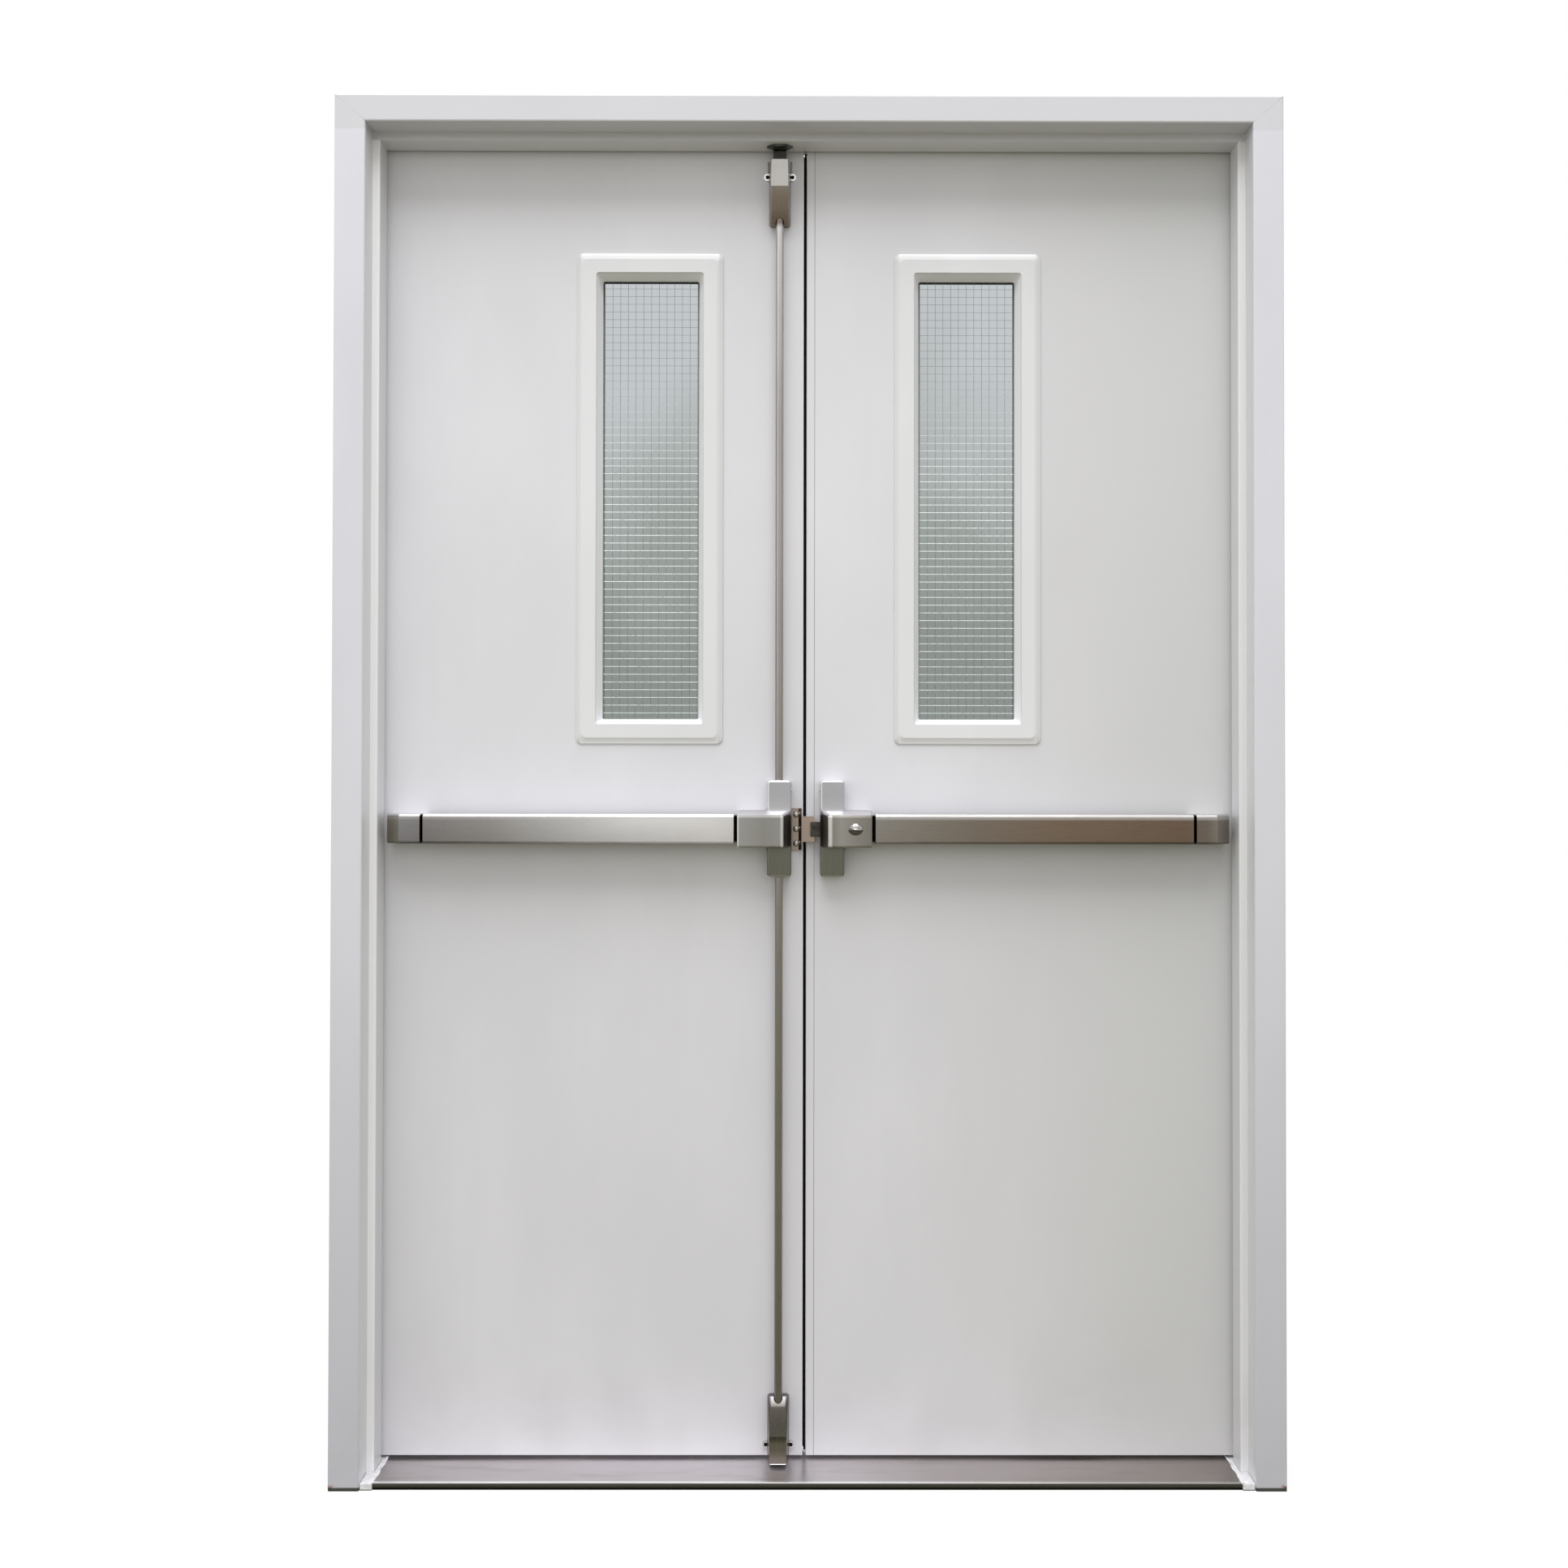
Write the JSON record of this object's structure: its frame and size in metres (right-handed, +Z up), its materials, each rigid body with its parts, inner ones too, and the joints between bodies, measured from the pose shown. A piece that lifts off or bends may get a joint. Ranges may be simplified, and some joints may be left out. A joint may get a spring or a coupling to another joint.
{
  "type": "double hollow metal fire door",
  "caption": "Pair of hollow metal fire door leaves in a pressed steel frame, with touch bar exit devices, vertical rods and wired glass vision lites.",
  "frame": {"origin": "on the underside of the threshold, at the floor, in the middle of the frame's width and depth", "axes": "+Z up, +Y the way in which both leaves swing open, -Y the push side with the exit devices"},
  "size_m": [1.497, 0.1585, 2.19],
  "materials": {
    "frame_paint": "satin off-white paint, slightly cool",
    "leaf_paint": "satin off-white paint",
    "lite_paint": "satin off-white paint",
    "brushed_stainless": "brushed stainless steel",
    "strike_steel": "brushed stainless steel",
    "rod_steel": "drawn stainless tube",
    "hinge_steel": "satin stainless steel",
    "knob_steel": "polished stainless steel",
    "rail_steel": "dark anodised channel",
    "dark_steel": "blackened steel",
    "sill_steel": "worn stainless sheet",
    "white_filler": "white sealant",
    "wired_glass": "wired obscured glass"
  },
  "bodies": {
    "frame": {"left_jamb": "frame_paint", "right_jamb": "frame_paint", "head": "frame_paint", "threshold": "sill_steel", "left_sill_filler": "white_filler", "right_sill_filler": "white_filler", "head_strike": "dark_steel", "frame_hinge_left_1": "hinge_steel", "frame_hinge_left_2": "hinge_steel", "frame_hinge_left_3": "hinge_steel", "frame_hinge_right_1": "hinge_steel", "frame_hinge_right_2": "hinge_steel", "frame_hinge_right_3": "hinge_steel"},
    "left_leaf": {"left_leaf": "leaf_paint", "left_lite_frame_push": "lite_paint", "left_lite_frame_pull": "lite_paint", "left_glass": "wired_glass", "leaf_hinge_left_1": "hinge_steel", "leaf_hinge_left_2": "hinge_steel", "leaf_hinge_left_3": "hinge_steel", "left_rail": "rail_steel", "left_rail_cover": "brushed_stainless", "left_end_cap": "brushed_stainless", "left_center_case": "brushed_stainless", "left_top_latch_case": "brushed_stainless", "left_bottom_latch_case": "brushed_stainless", "meeting_strike": "strike_steel"},
    "left_push_bar": {"left_push_bar": "brushed_stainless"},
    "left_top_rod": {"left_top_rod": "rod_steel", "left_top_bolt": "dark_steel"},
    "left_bottom_rod": {"left_bottom_rod": "rod_steel", "left_bottom_bolt": "dark_steel"},
    "right_leaf": {"right_leaf": "leaf_paint", "meeting_edge_channel": "leaf_paint", "right_lite_frame_push": "lite_paint", "right_lite_frame_pull": "lite_paint", "right_glass": "wired_glass", "leaf_hinge_right_1": "hinge_steel", "leaf_hinge_right_2": "hinge_steel", "leaf_hinge_right_3": "hinge_steel", "right_rail": "rail_steel", "right_rail_cover": "brushed_stainless", "right_end_cap": "brushed_stainless", "right_center_case": "brushed_stainless"},
    "right_push_bar": {"right_push_bar": "brushed_stainless"},
    "right_latch": {"right_latch": "dark_steel"},
    "right_thumb_turn": {"right_thumb_turn": "knob_steel"}
  },
  "joints": [
    {"name": "left_leaf_swing", "type": "hinge", "parent": "frame", "child": "left_leaf", "pos_m": [-0.6975, 0.07975, 1.08], "axis": [0, 0, 1], "range_deg": [0, 180]},
    {"name": "right_leaf_swing", "type": "hinge", "parent": "frame", "child": "right_leaf", "pos_m": [0.6975, 0.07975, 1.08], "axis": [0, 0, -1], "range_deg": [0, 180]},
    {"name": "left_bar_push", "type": "slide", "parent": "left_leaf", "child": "left_push_bar", "axis": [0, 1, 0], "range_m": [0, 0.014], "stiffness_N_per_m": 1500, "springref_m": -0.01},
    {"name": "left_top_rod_slide", "type": "slide", "parent": "left_leaf", "child": "left_top_rod", "axis": [0, 0, -1], "range_m": [0, 0.014]},
    {"name": "left_bottom_rod_slide", "type": "slide", "parent": "left_leaf", "child": "left_bottom_rod", "axis": [0, 0, 1], "range_m": [0, 0.014]},
    {"name": "right_bar_push", "type": "slide", "parent": "right_leaf", "child": "right_push_bar", "axis": [0, 1, 0], "range_m": [0, 0.014], "stiffness_N_per_m": 1500, "springref_m": -0.01},
    {"name": "right_latch_slide", "type": "slide", "parent": "right_leaf", "child": "right_latch", "axis": [1, 0, 0], "range_m": [0, 0.014]},
    {"name": "right_thumb_turn_spin", "type": "hinge", "parent": "right_leaf", "child": "right_thumb_turn", "pos_m": [0.075, -0.03875, 1.031], "axis": [0, 1, 0], "range_deg": [0, 90]}
  ],
  "couplings": [
    {"joint": "left_top_rod_slide", "follows": "left_bar_push", "ratio": 1},
    {"joint": "left_bottom_rod_slide", "follows": "left_bar_push", "ratio": 1},
    {"joint": "right_latch_slide", "follows": "right_bar_push", "ratio": 1}
  ]
}
